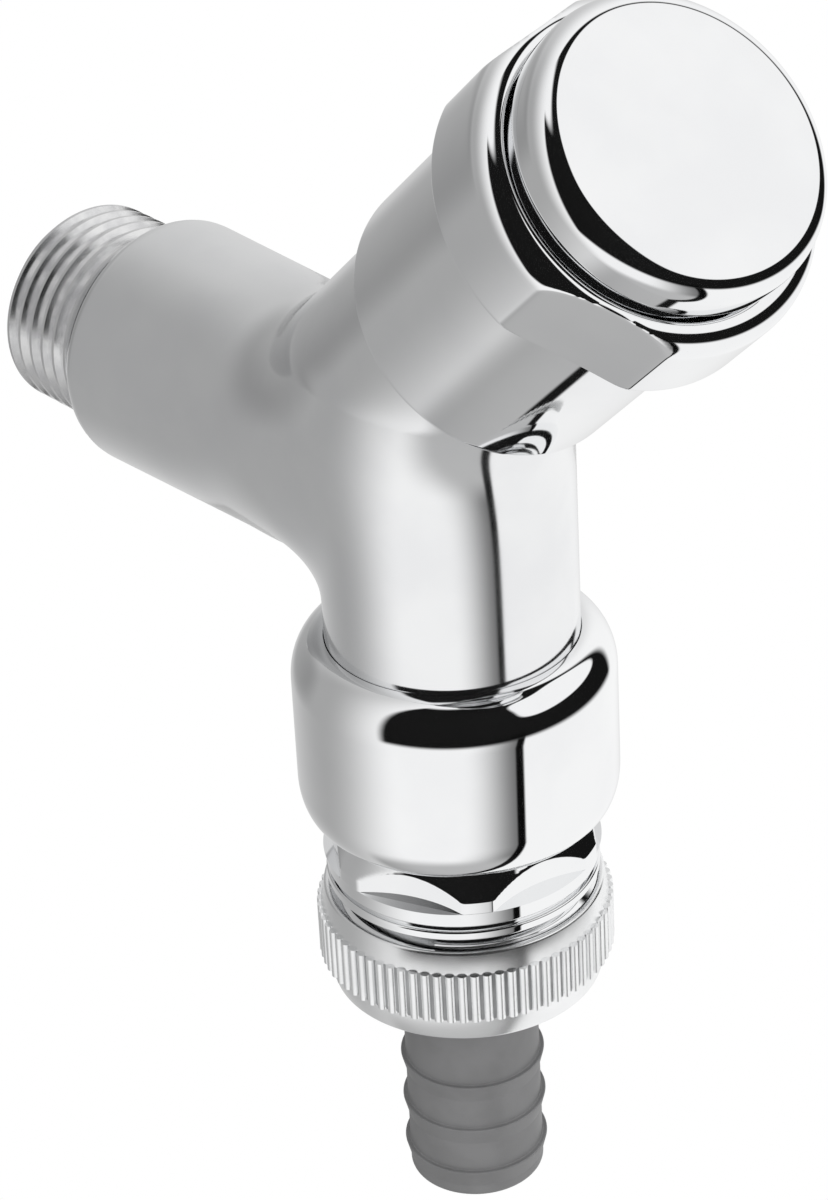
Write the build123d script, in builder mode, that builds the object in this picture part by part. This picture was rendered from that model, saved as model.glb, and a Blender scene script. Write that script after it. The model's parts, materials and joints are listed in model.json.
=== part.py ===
"""Outdoor tap with a slanted headwork, a backflow preventer and a hose union.

Millimetres. The origin is on the inlet axis at the shoulder that meets the wall, +X leads away from the wall
and +Z is up. The stem axis rises at a slant from the inlet axis, and the outlet axis points straight down.
Heights along the stem are counted from the point where it crosses the inlet axis.
"""

import os
from math import cos, radians, sin, tan

from build123d import *

os.makedirs("parts", exist_ok=True)

# Clearances
running_gap = 0.05
seating_gap = 0.02
loose_gap = 0.4

# Body: inlet barrel and the G1/2 thread that goes into the wall
inlet_thread_dia = 20.955
inlet_thread_length = 12.4
inlet_thread_chamfer = 1.2
inlet_bore_dia = 13.0
inlet_barrel_dia = 25.6
inlet_barrel_root_dia = 24.4
inlet_barrel_edge = 2.2

# Body: outlet barrel
outlet_reach = 42.5
outlet_barrel_dia = 24.6
outlet_barrel_drop = 20.5
outlet_throat_dia = 9.0
outlet_bore_dia = 17.0
outlet_bore_drop = 9.0

# Body: slanted branch, its socket and the valve seat
stem_slant = 45.0
stem_foot = 30.0
branch_dia = 24.8
socket_cover = 3.625
socket_bore_dia = 19.0
socket_bore_depth = 12.0
chamber_dia = 17.0
seat_height = 4.0
seat_bore_dia = 10.0
upper_blend = 3.0
lower_blend = 2.0

# Headwork: bonnet, sleeve and gasket
gasket_thickness = 1.0
bonnet_flange_thickness = 2.6
bonnet_neck_dia = 18.0
bonnet_drop = 2.2
guide_across_flats = 12.0
guide_depth = 12.0
sleeve_slip = 0.15
sleeve_wall = 1.45
sleeve_overhang = 1.6
sleeve_rim = 0.5
sleeve_lap = 2.3
sleeve_web_drop = 3.0
sleeve_web_thickness = 1.5

# Spindle
spindle_dia = 8.0
spindle_thread_dia = 7.0
spindle_foot = 16.0
collar_dia = 11.0
collar_thickness = 2.4
drive_across_flats = 7.0
spindle_ring_section = 1.1
spindle_ring_count = 2
clip_thickness = 1.0
clip_dia = 11.2
clip_opening = 60.0

# Valve plug
plug_lift = 5.0
plug_length = 16.4
plug_flange_dia = 14.0
plug_flange_thickness = 2.0
washer_thickness = 1.6
washer_screw_dia = 3.2
washer_screw_head_dia = 6.0
washer_screw_head = 1.4
washer_screw_length = 5.0

# Handle
skirt_rim = 49.2
skirt_height = 7.0
skirt_gap = 0.45
skirt_wall = 2.2
skirt_web = 2.4
shoulder_height = 2.2
shoulder_width = 2.35
hub_dia = 13.0
hub_drop = 0.2
rim_chamfer = 0.4
flute_count = 3
flute_start = -140.0
flute_depth = 1.4
flute_radius = 100.0
cap_height = 4.6
cap_edge = 2.3
cap_dome = 0.35
cap_wall = 1.6
groove_width = 1.0
groove_depth = 1.0
spigot_depth = 1.5
handle_screw_dia = 4.8
handle_screw_head_dia = 8.4
handle_screw_head = 2.6
handle_screw_length = 7.0
handle_screw_socket = 3.0

# Outlet housing
housing_dia = 31.4
housing_top_drop = 16.0
housing_length = 19.2
housing_shoulder = 4.6
housing_foot = 3.8
housing_foot_dia = 28.0
barrel_ring_section = 1.6
barrel_ring_drop = 17.2

# Check-valve cartridge
cartridge_dia = 21.8
cartridge_length = 11.1
cartridge_wall = 1.9
cartridge_seat = 2.4
cartridge_seat_dia = 11.0
cartridge_ring_section = 1.2
spider_thickness = 1.4
spider_arm = 2.2
spider_hub_dia = 6.4
poppet_dia = 14.8
poppet_thickness = 1.3
poppet_stem_dia = 3.6
seal_thickness = 0.6
seal_inner_dia = 9.0
spring_dia = 6.0
spring_wire = 0.6
spring_turns = 4

# Hose nipple
nipple_neck_dia = 24.0
nipple_bore_dia = 16.0
nipple_neck_reveal = 0.6
nipple_cone = 2.9
nipple_collar_dia = 27.5
nipple_land = 1.3
nipple_across_flats = 25.1
nipple_turn = -36.0
nipple_band = 1.7
nipple_band_dia = 26.9
nipple_groove = 0.5
nipple_groove_dia = 25.8
nipple_ring = 1.0
nipple_ring_dia = 27.0
hose_thread_dia = 26.44

# Union nut
nut_dia = 29.4
nut_top_dia = 27.7
nut_reveal = 1.2
nut_collar = 2.3
nut_knurl = 5.4
nut_foot = 2.9
nut_foot_dia = 26.8
nut_lip = 2.1
knurl_count = 74
knurl_depth = 0.4
hose_gasket_thickness = 1.8

# Hose tail
tail_dia = 13.6
tail_bore_dia = 9.8
tail_flange_dia = 25.4
tail_flange_thickness = 2.0
tail_length = 25.0
barb_dia = 14.6
barb_count = 3
barb_first = 10.8
barb_pitch = 5.4
barb_ramp = 2.0
tail_end_radius = 1.2

# Shared places
stem_axis = Axis((stem_foot, 0, 0), (cos(radians(stem_slant)), 0, sin(radians(stem_slant))))
outlet_axis = Axis((outlet_reach, 0, 0), (0, 0, 1))

# Section planes through each axis: local x is the radius, local y the distance along the axis
inlet_section = Plane(origin=(0, 0, 0), x_dir=(0, 0, 1), z_dir=(0, 1, 0))
outlet_section = Plane(origin=(outlet_reach, 0, 0), x_dir=(1, 0, 0), z_dir=(0, -1, 0))
stem_section = Plane(
    origin=(stem_foot, 0, 0),
    x_dir=(sin(radians(stem_slant)), 0, -cos(radians(stem_slant))),
    z_dir=(0, -1, 0),
)

# Planes square to the axes, for sketches that are extruded along them
stem_plane = Plane(origin=(stem_foot, 0, 0), x_dir=(0, 1, 0), z_dir=stem_axis.direction)
outlet_plane = Plane(origin=(outlet_reach, 0, 0), x_dir=(1, 0, 0), z_dir=(0, 0, 1))

# Diameters that follow the branch: sleeve over it, handle over the sleeve
bonnet_flange_dia = branch_dia - 2 * loose_gap
sleeve_dia = branch_dia + 2 * sleeve_slip + 2 * sleeve_wall
skirt_dia = sleeve_dia + 2 * skirt_gap + 2 * skirt_wall
cap_dia = skirt_dia - 2 * shoulder_width
spigot_dia = cap_dia - 2 * groove_depth

# Places along the stem
outlet_crossing = (outlet_reach - stem_foot) * tan(radians(stem_slant))
barrel_reach = outlet_crossing / sin(radians(stem_slant)) + outlet_barrel_dia / 2 * cos(radians(stem_slant))
socket_top = barrel_reach + socket_cover
skirt_edge = skirt_rim + skirt_height
skirt_shoulder = skirt_edge + shoulder_height
cap_foot = skirt_shoulder + groove_width
cap_top = cap_foot + cap_height
hub_foot = skirt_rim - hub_drop
hub_top = skirt_shoulder - spigot_depth
web_foot = hub_top - skirt_web
spindle_top = hub_top - seating_gap
bonnet_top = skirt_rim - bonnet_drop
bonnet_foot = socket_top - socket_bore_depth
sleeve_foot = socket_top - sleeve_overhang
sleeve_top = skirt_rim + sleeve_lap
sleeve_web_height = bonnet_top - sleeve_web_drop
flange_foot = socket_top + gasket_thickness
flange_top = flange_foot + bonnet_flange_thickness
guide_top = bonnet_foot + guide_depth
collar_foot = guide_top + seating_gap
collar_top = collar_foot + collar_thickness
clip_foot = bonnet_top + running_gap
drive_foot = clip_foot + clip_thickness + seating_gap
ring_spacing = (bonnet_top - collar_top) / (spindle_ring_count + 1)
spindle_ring_heights = [collar_top + ring_spacing * (step + 1) for step in range(spindle_ring_count)]
washer_foot = seat_height + running_gap
plug_foot = washer_foot + washer_thickness
plug_flange_top = plug_foot + plug_flange_thickness
plug_top = plug_foot + plug_length

# Places along the outlet
barrel_end = -outlet_barrel_drop
housing_top = -housing_top_drop
housing_bottom = housing_top - housing_length
cartridge_top = barrel_end - seating_gap
cartridge_bottom = cartridge_top - cartridge_length
seat_face = cartridge_top - cartridge_seat
poppet_top = seat_face - running_gap
poppet_foot = poppet_top - poppet_thickness
spider_top = cartridge_bottom + spider_thickness
nipple_top = cartridge_bottom - seating_gap
cone_top = housing_bottom - nipple_neck_reveal
cone_foot = cone_top - nipple_cone
land_foot = cone_foot - nipple_land
band_foot = land_foot - nipple_band
groove_foot = band_foot - nipple_groove
ring_foot = groove_foot - nipple_ring
nut_top = ring_foot - nut_reveal
knurl_top = nut_top - nut_collar
knurl_foot = knurl_top - nut_knurl
nut_bottom = knurl_foot - nut_foot
tail_flange_foot = nut_bottom + nut_lip + running_gap
tail_flange_top = tail_flange_foot + tail_flange_thickness
nipple_bottom = tail_flange_top + hose_gasket_thickness + 2 * seating_gap
tail_end = nut_bottom - tail_length


# Cast Y body: three barrels, bored out, with the valve seat across the slanted chamber
with BuildPart() as tap_body:
    with BuildSketch(stem_section):
        with BuildLine():
            CenterArc((0, 0), branch_dia / 2, start_angle=-90, arc_size=90)
            Polyline((branch_dia / 2, 0), (branch_dia / 2, socket_top), (0, socket_top), (0, -branch_dia / 2))
        make_face()
    revolve(axis=stem_axis)
    with BuildSketch(inlet_section):
        with BuildLine():
            Polyline(
                (0, 0),
                (inlet_barrel_dia / 2, 0),
                (inlet_barrel_root_dia / 2, stem_foot),
                (inlet_barrel_root_dia / 2, outlet_reach),
                (0, outlet_reach),
                close=True,
            )
        make_face()
        fillet(vertices().group_by(Axis.Y)[0].sort_by(Axis.X)[-1], inlet_barrel_edge)
    revolve(axis=Axis.X)
    fillet(edges(Select.NEW).sort_by(Axis.Z)[-2:], upper_blend)
    with BuildSketch(Plane.XY.offset(barrel_end)):
        with Locations((outlet_reach, 0)):
            Circle(outlet_barrel_dia / 2)
    extrude(amount=outlet_barrel_drop + outlet_crossing)
    fillet(edges(Select.NEW).sort_by(Axis.Z)[0], lower_blend)
    with BuildSketch(inlet_section):
        with BuildLine():
            Polyline(
                (0, inlet_barrel_edge),
                (inlet_thread_dia / 2, inlet_barrel_edge),
                (inlet_thread_dia / 2, inlet_thread_chamfer - inlet_thread_length),
                (inlet_thread_dia / 2 - inlet_thread_chamfer, -inlet_thread_length),
                (0, -inlet_thread_length),
                close=True,
            )
        make_face()
    revolve(axis=Axis.X)
    # Waterways: inlet bore, seat bore, headwork chamber and socket, outlet throat and bore
    with BuildSketch(inlet_section):
        with BuildLine():
            Polyline(
                (0, -inlet_thread_length),
                (inlet_bore_dia / 2, -inlet_thread_length),
                (inlet_bore_dia / 2, stem_foot - inlet_bore_dia / 2),
                (0, stem_foot),
                close=True,
            )
        make_face()
    revolve(axis=Axis.X, mode=Mode.SUBTRACT)
    with BuildSketch(stem_section):
        with BuildLine():
            Polyline(
                (0, 0),
                (seat_bore_dia / 2, 0),
                (seat_bore_dia / 2, seat_height),
                (chamber_dia / 2, seat_height),
                (chamber_dia / 2, bonnet_foot),
                (socket_bore_dia / 2, bonnet_foot),
                (socket_bore_dia / 2, socket_top),
                (0, socket_top),
                close=True,
            )
        make_face()
    revolve(axis=stem_axis, mode=Mode.SUBTRACT)
    with BuildSketch(outlet_section):
        with BuildLine():
            Polyline(
                (0, barrel_end),
                (outlet_bore_dia / 2, barrel_end),
                (outlet_bore_dia / 2, -outlet_bore_drop),
                (outlet_throat_dia / 2, -outlet_bore_drop),
                (outlet_throat_dia / 2, outlet_crossing),
                (0, outlet_crossing),
                close=True,
            )
        make_face()
    revolve(axis=outlet_axis, mode=Mode.SUBTRACT)
    # Groove for the barrel's O-ring
    with BuildSketch(outlet_section):
        with Locations((outlet_barrel_dia / 2, -barrel_ring_drop)):
            Rectangle(2 * barrel_ring_section, barrel_ring_section + 2 * running_gap)
    revolve(axis=outlet_axis, mode=Mode.SUBTRACT)
tap_body.part.label = "tap_body"

# Fibre gasket between the socket's face and the headwork's flange
with BuildPart() as bonnet_gasket:
    with BuildSketch(stem_section):
        with BuildLine():
            Polyline(
                (socket_bore_dia / 2, socket_top + seating_gap),
                (bonnet_flange_dia / 2, socket_top + seating_gap),
                (bonnet_flange_dia / 2, flange_foot - seating_gap),
                (socket_bore_dia / 2, flange_foot - seating_gap),
                close=True,
            )
        make_face()
    revolve(axis=stem_axis)
bonnet_gasket.part.label = "bonnet_gasket"

# Brass headwork: threaded foot, flange and neck, with a hexagon guide for the plug
with BuildPart() as headwork_body:
    with BuildSketch(stem_section):
        with BuildLine():
            Polyline(
                (0, bonnet_foot + running_gap),
                (socket_bore_dia / 2 - running_gap, bonnet_foot + running_gap),
                (socket_bore_dia / 2 - running_gap, flange_foot),
                (bonnet_flange_dia / 2, flange_foot),
                (bonnet_flange_dia / 2, flange_top),
                (bonnet_neck_dia / 2, flange_top),
                (bonnet_neck_dia / 2, bonnet_top),
                (0, bonnet_top),
                close=True,
            )
        make_face()
    revolve(axis=stem_axis)
    with BuildSketch(stem_plane.offset(bonnet_foot)):
        RegularPolygon(guide_across_flats / 2, 6, major_radius=False)
    extrude(amount=guide_depth, mode=Mode.SUBTRACT)
    with BuildSketch(stem_plane.offset(guide_top)):
        Circle(collar_dia / 2 + running_gap)
    extrude(amount=collar_thickness + 2 * seating_gap, mode=Mode.SUBTRACT)
    with BuildSketch(stem_plane.offset(collar_top)):
        Circle(spindle_dia / 2 + running_gap)
    extrude(amount=bonnet_top - collar_top, mode=Mode.SUBTRACT)
headwork_body.part.label = "headwork_body"

# Plain sleeve over the headwork and the end of the branch, with a web that centres it on the neck
with BuildPart() as bonnet_sleeve:
    with BuildSketch(stem_section):
        with BuildLine():
            Polyline(
                (sleeve_dia / 2, sleeve_foot),
                (sleeve_dia / 2, sleeve_top),
                (sleeve_dia / 2 - sleeve_wall, sleeve_top),
                (sleeve_dia / 2 - sleeve_wall, sleeve_web_height + sleeve_web_thickness),
                (bonnet_neck_dia / 2 + running_gap, sleeve_web_height + sleeve_web_thickness),
                (bonnet_neck_dia / 2 + running_gap, sleeve_web_height),
                (sleeve_dia / 2 - sleeve_wall, sleeve_web_height),
                (sleeve_dia / 2 - sleeve_wall, sleeve_foot),
                close=True,
            )
        make_face()
        fillet(vertices().group_by(Axis.Y)[0].sort_by(Axis.X)[-1], sleeve_rim)
    revolve(axis=stem_axis)
bonnet_sleeve.part.label = "bonnet_sleeve"

# Turning spindle: threaded foot, collar, two ring grooves, clip groove and hexagon drive
ring_seat_dia = spindle_dia - 2 * spindle_ring_section
clip_seat_dia = drive_across_flats - 2 * loose_gap
with BuildPart() as spindle:
    with BuildSketch(stem_section):
        with BuildLine():
            Polyline(
                (0, spindle_foot),
                (spindle_thread_dia / 2, spindle_foot),
                (spindle_thread_dia / 2, collar_foot),
                (collar_dia / 2, collar_foot),
                (collar_dia / 2, collar_top),
                (spindle_dia / 2, collar_top),
                (spindle_dia / 2, clip_foot),
                (clip_seat_dia / 2, clip_foot),
                (clip_seat_dia / 2, drive_foot),
                (0, drive_foot),
                close=True,
            )
        make_face()
    revolve(axis=stem_axis)
    with BuildSketch(stem_section):
        for ring_height in spindle_ring_heights:
            with Locations((spindle_dia / 2, ring_height)):
                Rectangle(2 * spindle_ring_section, spindle_ring_section + 2 * running_gap)
    revolve(axis=stem_axis, mode=Mode.SUBTRACT)
    with BuildSketch(stem_plane.offset(drive_foot)):
        RegularPolygon(drive_across_flats / 2, 6, major_radius=False)
    extrude(amount=spindle_top - drive_foot)
    with BuildSketch(stem_plane.offset(spindle_top)):
        Circle(handle_screw_dia / 2 + running_gap)
    extrude(amount=-handle_screw_length - loose_gap, mode=Mode.SUBTRACT)
spindle.part.label = "spindle"

# Two rubber rings on the spindle
with BuildPart() as spindle_o_rings:
    with BuildSketch(stem_section):
        for ring_height in spindle_ring_heights:
            with Locations((ring_seat_dia / 2 + spindle_ring_section / 2 + seating_gap, ring_height)):
                Circle(spindle_ring_section / 2)
    revolve(axis=stem_axis)
spindle_o_rings.part.label = "spindle_o_rings"

# Open spring ring on the spindle, above the headwork's neck
with BuildPart() as retaining_clip:
    with BuildSketch(stem_plane.offset(clip_foot)):
        Circle(clip_dia / 2)
        Circle(clip_seat_dia / 2 + seating_gap, mode=Mode.SUBTRACT)
        with BuildLine():
            opening_reach = clip_dia / cos(radians(clip_opening / 2))
            PolarLine((0, 0), opening_reach, clip_opening / 2)
            PolarLine((0, 0), opening_reach, -clip_opening / 2)
            Line(
                (opening_reach * cos(radians(clip_opening / 2)), opening_reach * sin(radians(clip_opening / 2))),
                (opening_reach * cos(radians(clip_opening / 2)), -opening_reach * sin(radians(clip_opening / 2))),
            )
        make_face(mode=Mode.SUBTRACT)
    extrude(amount=clip_thickness)
retaining_clip.part.label = "retaining_clip"

# Valve plug: flange and hexagon guide, threaded inside for the spindle
with BuildPart() as valve_plug:
    with BuildSketch(stem_plane.offset(plug_foot)):
        Circle(plug_flange_dia / 2)
    extrude(amount=plug_flange_thickness)
    with BuildSketch(stem_plane.offset(plug_flange_top)):
        RegularPolygon(guide_across_flats / 2 - 2 * running_gap, 6, major_radius=False)
    extrude(amount=plug_top - plug_flange_top)
    with BuildSketch(stem_plane.offset(plug_top)):
        Circle(spindle_thread_dia / 2 + running_gap)
    extrude(amount=-(plug_top - spindle_foot + plug_lift + loose_gap), mode=Mode.SUBTRACT)
    with BuildSketch(stem_plane.offset(plug_foot)):
        Circle(washer_screw_dia / 2 + seating_gap)
    extrude(amount=washer_screw_length - washer_thickness + seating_gap, mode=Mode.SUBTRACT)
valve_plug.part.label = "valve_plug"

# Rubber washer that closes on the seat
with BuildPart() as seat_washer:
    with BuildSketch(stem_plane.offset(washer_foot)):
        Circle(plug_flange_dia / 2)
        Circle(washer_screw_dia / 2 + seating_gap, mode=Mode.SUBTRACT)
    extrude(amount=washer_thickness - seating_gap)
seat_washer.part.label = "seat_washer"

# Screw that holds the washer, with its head in the seat bore
with BuildPart() as washer_screw:
    with BuildSketch(stem_plane.offset(washer_foot - seating_gap)):
        Circle(washer_screw_head_dia / 2)
    extrude(amount=-washer_screw_head)
    with BuildSketch(stem_plane.offset(washer_foot - seating_gap)):
        Circle(washer_screw_dia / 2)
    extrude(amount=washer_screw_length)
    with BuildSketch(stem_plane.offset(washer_foot - seating_gap - washer_screw_head)):
        Rectangle(washer_screw_head_dia, washer_screw_head / 2)
    extrude(amount=washer_screw_head / 2, mode=Mode.SUBTRACT)
washer_screw.part.label = "washer_screw"

# Handle: skirt with finger flutes, rounded shoulder, web and hub
with BuildPart() as handle_skirt:
    with BuildSketch(stem_section):
        with BuildLine():
            Polyline(
                (0, web_foot),
                (skirt_dia / 2 - skirt_wall, web_foot),
                (skirt_dia / 2 - skirt_wall, skirt_rim),
                (skirt_dia / 2 - rim_chamfer, skirt_rim),
                (skirt_dia / 2, skirt_rim + rim_chamfer),
                (skirt_dia / 2, skirt_edge),
            )
            EllipticalCenterArc(
                (cap_dia / 2, skirt_edge),
                skirt_dia / 2 - cap_dia / 2,
                skirt_shoulder - skirt_edge,
                start_angle=0,
                arc_size=90,
            )
            Polyline(
                (cap_dia / 2, skirt_shoulder),
                (spigot_dia / 2 + running_gap, skirt_shoulder),
                (spigot_dia / 2 + running_gap, hub_top),
                (0, hub_top),
                (0, web_foot),
            )
        make_face()
    revolve(axis=stem_axis)
    with BuildSketch(stem_plane.offset(hub_foot)):
        Circle(hub_dia / 2)
    extrude(amount=hub_top - hub_foot)
    with BuildSketch(stem_plane.offset(hub_foot)):
        RegularPolygon(drive_across_flats / 2 + seating_gap, 6, major_radius=False)
    extrude(amount=hub_top - hub_foot, mode=Mode.SUBTRACT)
    with BuildSketch(stem_plane.offset(skirt_rim)):
        with PolarLocations(skirt_dia / 2 - flute_depth + flute_radius, flute_count, flute_start):
            Circle(flute_radius)
    extrude(amount=skirt_shoulder - skirt_rim, mode=Mode.SUBTRACT)
handle_skirt.part.label = "handle_skirt"

# Polished cap pressed into the handle, with a gently domed face
cap_dome_radius = ((cap_dia / 2 - cap_edge) ** 2 + cap_dome**2) / (2 * cap_dome)
with BuildPart() as handle_cap:
    with BuildSketch(stem_section):
        with BuildLine():
            Polyline(
                (spigot_dia / 2 - cap_wall, hub_top + seating_gap),
                (spigot_dia / 2, hub_top + seating_gap),
                (spigot_dia / 2, cap_foot),
                (cap_dia / 2, cap_foot),
                (cap_dia / 2, cap_top - cap_edge),
            )
            EllipticalCenterArc(
                (cap_dia / 2 - cap_edge, cap_top - cap_edge), cap_edge, cap_edge, start_angle=0, arc_size=90
            )
            RadiusArc((cap_dia / 2 - cap_edge, cap_top), (0, cap_top + cap_dome), -cap_dome_radius)
            Polyline(
                (0, cap_top + cap_dome),
                (0, cap_top - cap_wall),
                (spigot_dia / 2 - cap_wall, cap_top - cap_wall),
                (spigot_dia / 2 - cap_wall, hub_top + seating_gap),
            )
        make_face()
    revolve(axis=stem_axis)
handle_cap.part.label = "handle_cap"

# Socket-head screw that holds the handle on the spindle
with BuildPart() as handle_screw:
    with BuildSketch(stem_plane.offset(hub_top + seating_gap)):
        Circle(handle_screw_head_dia / 2)
    extrude(amount=handle_screw_head)
    with BuildSketch(stem_plane.offset(hub_top + seating_gap)):
        Circle(handle_screw_dia / 2)
    extrude(amount=-handle_screw_length)
    with BuildSketch(stem_plane.offset(hub_top + seating_gap + handle_screw_head)):
        RegularPolygon(handle_screw_socket / 2, 6, major_radius=False)
    extrude(amount=-handle_screw_head / 2, mode=Mode.SUBTRACT)
handle_screw.part.label = "handle_screw"

# Housing of the backflow preventer, pushed over the outlet barrel
housing_bore = outlet_barrel_dia / 2 + running_gap
cartridge_bore = cartridge_dia / 2 + running_gap
with BuildPart() as outlet_housing:
    with BuildSketch(outlet_section):
        with BuildLine():
            Polyline((housing_bore, housing_top), (housing_bore, barrel_end), (cartridge_bore, barrel_end))
            Polyline((cartridge_bore, barrel_end), (cartridge_bore, nipple_top))
            Polyline((cartridge_bore, nipple_top), (nipple_neck_dia / 2 + running_gap, nipple_top))
            Line((nipple_neck_dia / 2 + running_gap, nipple_top), (nipple_neck_dia / 2 + running_gap, housing_bottom))
            Line((nipple_neck_dia / 2 + running_gap, housing_bottom), (housing_foot_dia / 2, housing_bottom))
            EllipticalCenterArc(
                (housing_foot_dia / 2, housing_bottom + housing_foot),
                housing_dia / 2 - housing_foot_dia / 2,
                housing_foot,
                start_angle=-90,
                arc_size=90,
            )
            Line((housing_dia / 2, housing_bottom + housing_foot), (housing_dia / 2, housing_top - housing_shoulder))
            EllipticalCenterArc(
                (housing_bore, housing_top - housing_shoulder),
                housing_dia / 2 - housing_bore,
                housing_shoulder,
                start_angle=0,
                arc_size=90,
            )
        make_face()
    revolve(axis=outlet_axis)
outlet_housing.part.label = "outlet_housing"

# Rubber ring in the barrel's groove
with BuildPart() as barrel_o_ring:
    with BuildSketch(outlet_section):
        with Locations((outlet_barrel_dia / 2 - barrel_ring_section / 2, -barrel_ring_drop)):
            Circle(barrel_ring_section / 2)
    revolve(axis=outlet_axis)
barrel_o_ring.part.label = "barrel_o_ring"

# Check-valve cage: seat ring, wall and a three-armed spider that guides the poppet
with BuildPart() as check_cartridge:
    with BuildSketch(outlet_section):
        with BuildLine():
            Polyline(
                (cartridge_seat_dia / 2, cartridge_top),
                (cartridge_dia / 2, cartridge_top),
                (cartridge_dia / 2, cartridge_bottom),
                (cartridge_dia / 2 - cartridge_wall, cartridge_bottom),
                (cartridge_dia / 2 - cartridge_wall, seat_face),
                (cartridge_seat_dia / 2, seat_face),
                close=True,
            )
        make_face()
    revolve(axis=outlet_axis)
    with BuildSketch(outlet_plane.offset(cartridge_bottom)):
        Circle(spider_hub_dia / 2)
        with PolarLocations(0, 3):
            Rectangle(cartridge_dia / 2 - cartridge_wall / 2, spider_arm, align=(Align.MIN, Align.CENTER))
        Circle(poppet_stem_dia / 2 + running_gap, mode=Mode.SUBTRACT)
    extrude(amount=spider_thickness)
    with BuildSketch(outlet_section):
        with Locations((cartridge_dia / 2, cartridge_top - cartridge_seat / 2)):
            Rectangle(2 * cartridge_ring_section, cartridge_ring_section + 2 * running_gap)
    revolve(axis=outlet_axis, mode=Mode.SUBTRACT)
check_cartridge.part.label = "check_cartridge"

# Rubber ring round the cage
with BuildPart() as cartridge_o_ring:
    with BuildSketch(outlet_section):
        with Locations((cartridge_dia / 2 - cartridge_ring_section / 2, cartridge_top - cartridge_seat / 2)):
            Circle(cartridge_ring_section / 2)
    revolve(axis=outlet_axis)
cartridge_o_ring.part.label = "cartridge_o_ring"

# Poppet: disc with a ring recess for its seal and a guided stem
with BuildPart() as check_poppet:
    with BuildSketch(outlet_section):
        with BuildLine():
            Polyline(
                (0, poppet_top + cartridge_seat / 2),
                (seal_inner_dia / 2, poppet_top),
                (seal_inner_dia / 2, poppet_top - seal_thickness),
                (poppet_dia / 2, poppet_top - seal_thickness),
                (poppet_dia / 2, poppet_foot),
                (poppet_stem_dia / 2, poppet_foot),
                (poppet_stem_dia / 2, cartridge_bottom - running_gap),
                (0, cartridge_bottom - running_gap),
                close=True,
            )
        make_face()
    revolve(axis=outlet_axis)
check_poppet.part.label = "check_poppet"

# Rubber ring on the poppet
with BuildPart() as poppet_seal:
    with BuildSketch(outlet_plane.offset(poppet_top)):
        Circle(poppet_dia / 2)
        Circle(seal_inner_dia / 2 + seating_gap, mode=Mode.SUBTRACT)
    extrude(amount=-(seal_thickness - seating_gap))
poppet_seal.part.label = "poppet_seal"

# Coil spring between the spider and the poppet
spring_foot = spider_top + spring_wire / 2 + seating_gap
spring_height = poppet_foot - spring_wire / 2 - seating_gap - spring_foot
with BuildPart() as check_spring:
    with BuildLine() as spring_path:
        Helix(
            pitch=spring_height / spring_turns,
            height=spring_height,
            radius=spring_dia / 2,
            center=(outlet_reach, 0, spring_foot),
        )
    with BuildSketch(Plane(origin=spring_path.line @ 0, z_dir=spring_path.line % 0)):
        Circle(spring_wire / 2)
    sweep(path=spring_path.line, is_frenet=True)
check_spring.part.label = "check_spring"

# Hose nipple: neck in the housing, collar with milled flats, groove, ring and hose thread
with BuildPart() as outlet_nipple:
    with BuildSketch(outlet_section):
        with BuildLine():
            Polyline(
                (nipple_bore_dia / 2, nipple_top),
                (nipple_neck_dia / 2, nipple_top),
                (nipple_neck_dia / 2, cone_top),
                (nipple_collar_dia / 2, cone_foot),
                (nipple_collar_dia / 2, land_foot),
                (nipple_band_dia / 2, land_foot),
                (nipple_band_dia / 2, band_foot),
                (nipple_groove_dia / 2, band_foot),
                (nipple_groove_dia / 2, groove_foot),
                (nipple_ring_dia / 2, groove_foot),
                (nipple_ring_dia / 2, ring_foot),
                (hose_thread_dia / 2, ring_foot),
                (hose_thread_dia / 2, nipple_bottom),
                (nipple_bore_dia / 2, nipple_bottom),
                close=True,
            )
        make_face()
    revolve(axis=outlet_axis)
    with BuildSketch(outlet_plane.offset(cone_top)):
        Circle(nipple_collar_dia / 2 + loose_gap)
        RegularPolygon(nipple_across_flats / 2, 6, major_radius=False, rotation=nipple_turn, mode=Mode.SUBTRACT)
    extrude(amount=land_foot - cone_top, mode=Mode.SUBTRACT)
outlet_nipple.part.label = "outlet_nipple"

# Flat gasket between the nipple and the hose tail
with BuildPart() as hose_gasket:
    with BuildSketch(outlet_plane.offset(tail_flange_top + seating_gap)):
        Circle(tail_flange_dia / 2)
        Circle(nipple_bore_dia / 2, mode=Mode.SUBTRACT)
    extrude(amount=hose_gasket_thickness - seating_gap)
hose_gasket.part.label = "hose_gasket"

# Union nut: plain collar, straight knurl, chamfered foot and the lip that lifts the hose tail
nut_bore = hose_thread_dia / 2 + running_gap
with BuildPart() as union_nut:
    with BuildSketch(outlet_section):
        with BuildLine():
            Polyline(
                (nut_bore, nut_top),
                (nut_top_dia / 2, nut_top),
                (nut_dia / 2 - knurl_depth, knurl_top),
                (nut_dia / 2, knurl_top),
                (nut_dia / 2, knurl_foot),
                (nut_dia / 2 - knurl_depth, knurl_foot),
                (nut_foot_dia / 2, nut_bottom),
                (tail_dia / 2 + loose_gap, nut_bottom),
                (tail_dia / 2 + loose_gap, nut_bottom + nut_lip),
                (nut_bore, nut_bottom + nut_lip),
                close=True,
            )
        make_face()
    revolve(axis=outlet_axis)
    with BuildSketch(outlet_plane.offset(knurl_foot)):
        with PolarLocations(nut_dia / 2, knurl_count):
            RegularPolygon(knurl_depth, 4)
    extrude(amount=nut_knurl, mode=Mode.SUBTRACT)
union_nut.part.label = "union_nut"

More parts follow.
